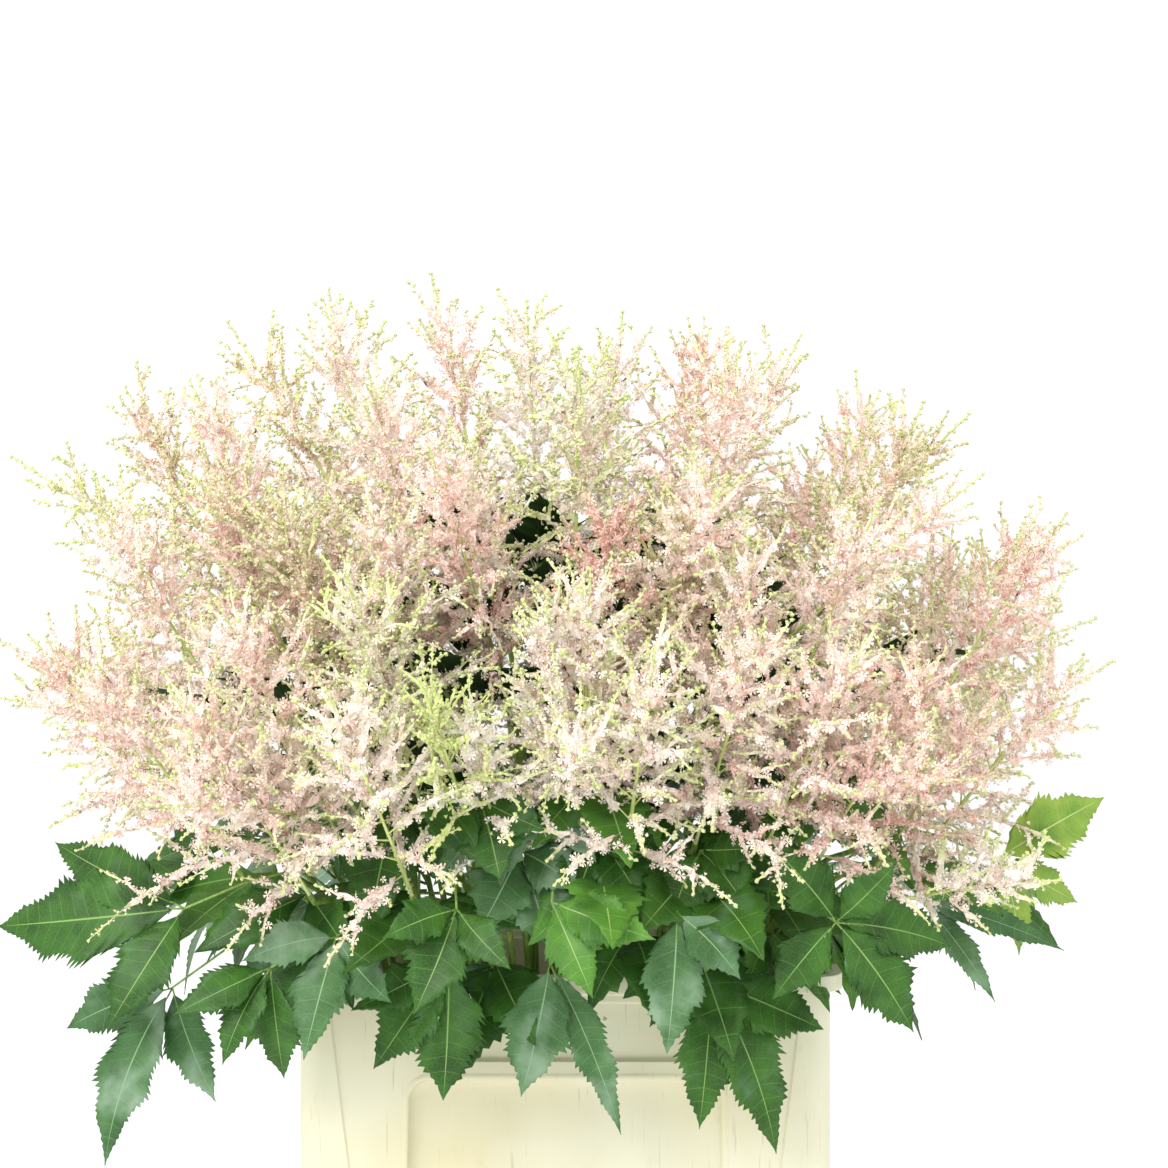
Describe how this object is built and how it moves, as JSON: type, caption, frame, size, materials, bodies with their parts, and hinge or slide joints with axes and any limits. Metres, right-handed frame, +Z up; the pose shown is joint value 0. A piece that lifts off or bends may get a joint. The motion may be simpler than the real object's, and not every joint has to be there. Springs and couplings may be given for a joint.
{
  "type": "astilbe plant in a bucket",
  "caption": "Feathery blush and cream astilbe plumes on green stems with toothed compound leaves, fanning out of a tall rectangular cream bucket.",
  "frame": {"origin": "centre of the bucket's underside, on the surface it stands on", "axes": "+Z up; the bucket's long sides run along X and its front, the pictured side, faces -Y"},
  "size_m": [0.87, 0.777, 0.9412],
  "materials": {
    "bucket": "satin",
    "stem": "satin",
    "floret": "matte",
    "leaf": "satin"
  },
  "bodies": {
    "root": {"bucket": "bucket", "stem_01": "stem", "stem_02": "stem", "stem_03": "stem", "stem_04": "stem", "stem_05": "stem", "stem_06": "stem", "stem_07": "stem", "stem_08": "stem", "stem_09": "stem", "stem_10": "stem", "stem_11": "stem", "stem_12": "stem", "stem_13": "stem", "stem_14": "stem", "stem_15": "stem", "stem_16": "stem", "stem_17": "stem", "stem_18": "stem", "stem_19": "stem", "stem_20": "stem", "plume_01": "floret", "plume_02": "floret", "plume_03": "floret", "plume_04": "floret", "plume_05": "floret", "plume_06": "floret", "plume_07": "floret", "plume_08": "floret", "plume_09": "floret", "plume_10": "floret", "plume_11": "floret", "plume_12": "floret", "plume_13": "floret", "plume_14": "floret", "plume_15": "floret", "plume_16": "floret", "plume_17": "floret", "plume_18": "floret", "plume_19": "floret", "plume_20": "floret", "leaf_01": "leaf", "leaf_02": "leaf", "leaf_03": "leaf", "leaf_04": "leaf", "leaf_05": "leaf", "leaf_06": "leaf", "leaf_07": "leaf", "leaf_08": "leaf", "leaf_09": "leaf", "leaf_10": "leaf", "leaf_11": "leaf", "leaf_12": "leaf", "leaf_13": "leaf", "leaf_14": "leaf", "leaf_15": "leaf", "leaf_16": "leaf", "leaf_17": "leaf", "leaf_18": "leaf", "leaf_19": "leaf"}
  },
  "joints": []
}
